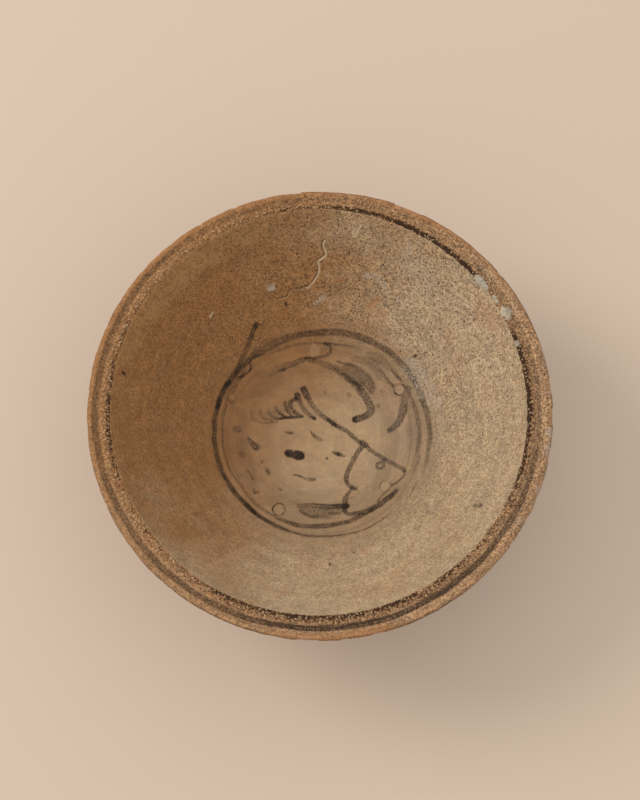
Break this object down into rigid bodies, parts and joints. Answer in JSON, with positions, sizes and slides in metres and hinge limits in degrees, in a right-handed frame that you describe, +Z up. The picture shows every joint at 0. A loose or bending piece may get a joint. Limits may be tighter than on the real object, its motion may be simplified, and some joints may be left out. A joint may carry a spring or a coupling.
{
  "type": "tea bowl",
  "caption": "Wide, shallow stoneware tea bowl with a flat rim flange, a painted well in a double ring, and a low foot ring.",
  "frame": {"origin": "on the table under the middle of the foot ring", "axes": "+Z up along the bowl's axis; +Y is the side of the rim that is uppermost when the painting is seen upright, and +X is to its right"},
  "size_m": [0.16, 0.16, 0.058],
  "materials": {
    "bare_clay": "bare fired stoneware, matt and gritty",
    "slip": "pale slip, matt",
    "inner_glaze": "thin ash glaze, satin, pitted",
    "rim_glaze": "thin brown glaze, satin",
    "outer_glaze": "thin brown glaze, satin",
    "iron_paint": "iron pigment brushed under the glaze",
    "spur_clay": "glassy scar with a rough edge",
    "filler": "pale lime filler, matt"
  },
  "bodies": {
    "root": {"clay_body": "bare_clay", "foot_ring": "bare_clay", "inner_slip": "slip", "inner_glaze": "inner_glaze", "rim_glaze": "rim_glaze", "outer_glaze": "outer_glaze", "rim_line": "iron_paint", "well_ring_wide": "iron_paint", "well_ring_narrow": "iron_paint", "well_painting": "iron_paint", "spur_scars": "spur_clay", "rim_fills": "filler"}
  },
  "joints": []
}
